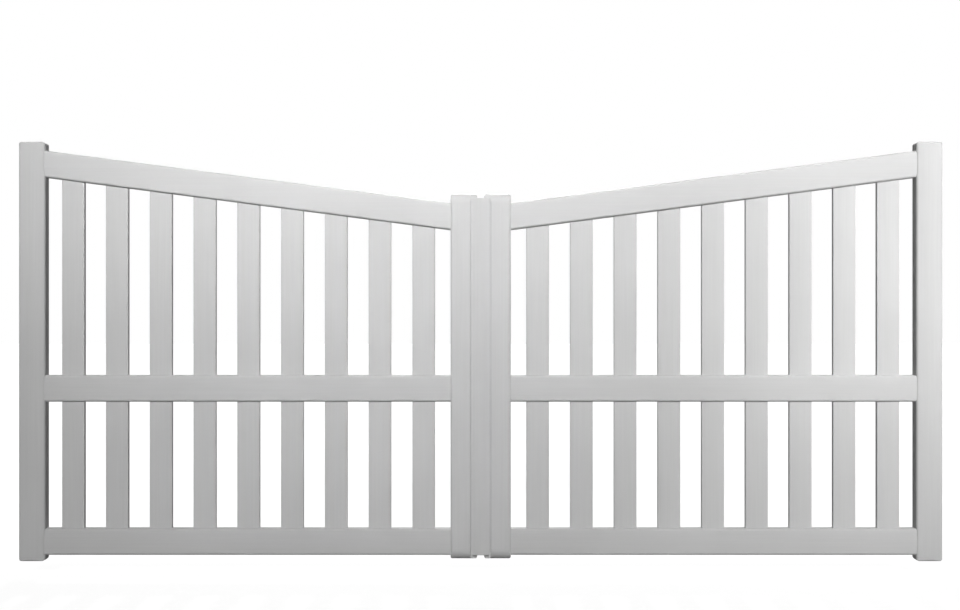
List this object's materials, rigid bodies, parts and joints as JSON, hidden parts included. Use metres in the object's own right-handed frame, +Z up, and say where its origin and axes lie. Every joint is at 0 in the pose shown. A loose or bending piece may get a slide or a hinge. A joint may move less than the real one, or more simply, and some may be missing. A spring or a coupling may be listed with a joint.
{
  "type": "double-leaf aluminium swing gate with coupled leaves, without its pillars",
  "caption": "Double-leaf aluminium driveway swing gate: slatted leaves with a sloping top rail, a cover strip over the meeting gap, and hinges on wall plates.",
  "frame": {"origin": "centre of the back face of the lower left wall plate, where it meets the pillar", "axes": "+X from the left pillar to the right one, -Y to the outside, which the picture shows, +Z up"},
  "size_m": [3.5, 0.128, 1.575],
  "materials": {
    "gate_aluminium": "satin powder coat, light grey, on extruded profiles",
    "end_caps": "moulded caps in the colour of the profiles",
    "hinge_steel": "galvanised steel, matt grey"
  },
  "bodies": {
    "wall_hinges": {"left_lower_wall_bracket": "hinge_steel", "left_upper_wall_bracket": "hinge_steel", "left_lower_hinge_pin": "hinge_steel", "left_upper_hinge_pin": "hinge_steel", "right_lower_wall_bracket": "hinge_steel", "right_upper_wall_bracket": "hinge_steel", "right_lower_hinge_pin": "hinge_steel", "right_upper_hinge_pin": "hinge_steel"},
    "left_leaf": {"left_hinge_stile": "gate_aluminium", "left_hinge_stile_top_cap": "end_caps", "left_hinge_stile_bottom_cap": "end_caps", "left_meeting_stile": "gate_aluminium", "left_meeting_stile_top_cap": "end_caps", "left_meeting_stile_bottom_cap": "end_caps", "left_bottom_rail": "gate_aluminium", "left_middle_rail": "gate_aluminium", "left_top_rail": "gate_aluminium", "left_lower_slats": "gate_aluminium", "left_upper_slats": "gate_aluminium", "left_lower_hinge_strap": "hinge_steel", "left_upper_hinge_strap": "hinge_steel", "cover_strip": "gate_aluminium"},
    "right_leaf": {"right_hinge_stile": "gate_aluminium", "right_hinge_stile_top_cap": "end_caps", "right_hinge_stile_bottom_cap": "end_caps", "right_meeting_stile": "gate_aluminium", "right_meeting_stile_top_cap": "end_caps", "right_meeting_stile_bottom_cap": "end_caps", "right_bottom_rail": "gate_aluminium", "right_middle_rail": "gate_aluminium", "right_top_rail": "gate_aluminium", "right_lower_slats": "gate_aluminium", "right_upper_slats": "gate_aluminium", "right_lower_hinge_strap": "hinge_steel", "right_upper_hinge_strap": "hinge_steel"}
  },
  "joints": [
    {"name": "right_swing", "type": "hinge", "parent": "wall_hinges", "child": "right_leaf", "pos_m": [3.475, -0.018, 0], "axis": [0, 0, 1], "range_deg": [-90, 0]},
    {"name": "left_swing", "type": "hinge", "parent": "wall_hinges", "child": "left_leaf", "pos_m": [0.025, -0.018, 0], "axis": [0, 0, 1], "range_deg": [0, 90]}
  ],
  "couplings": [
    {"joint": "left_swing", "follows": "right_swing", "ratio": -1}
  ]
}
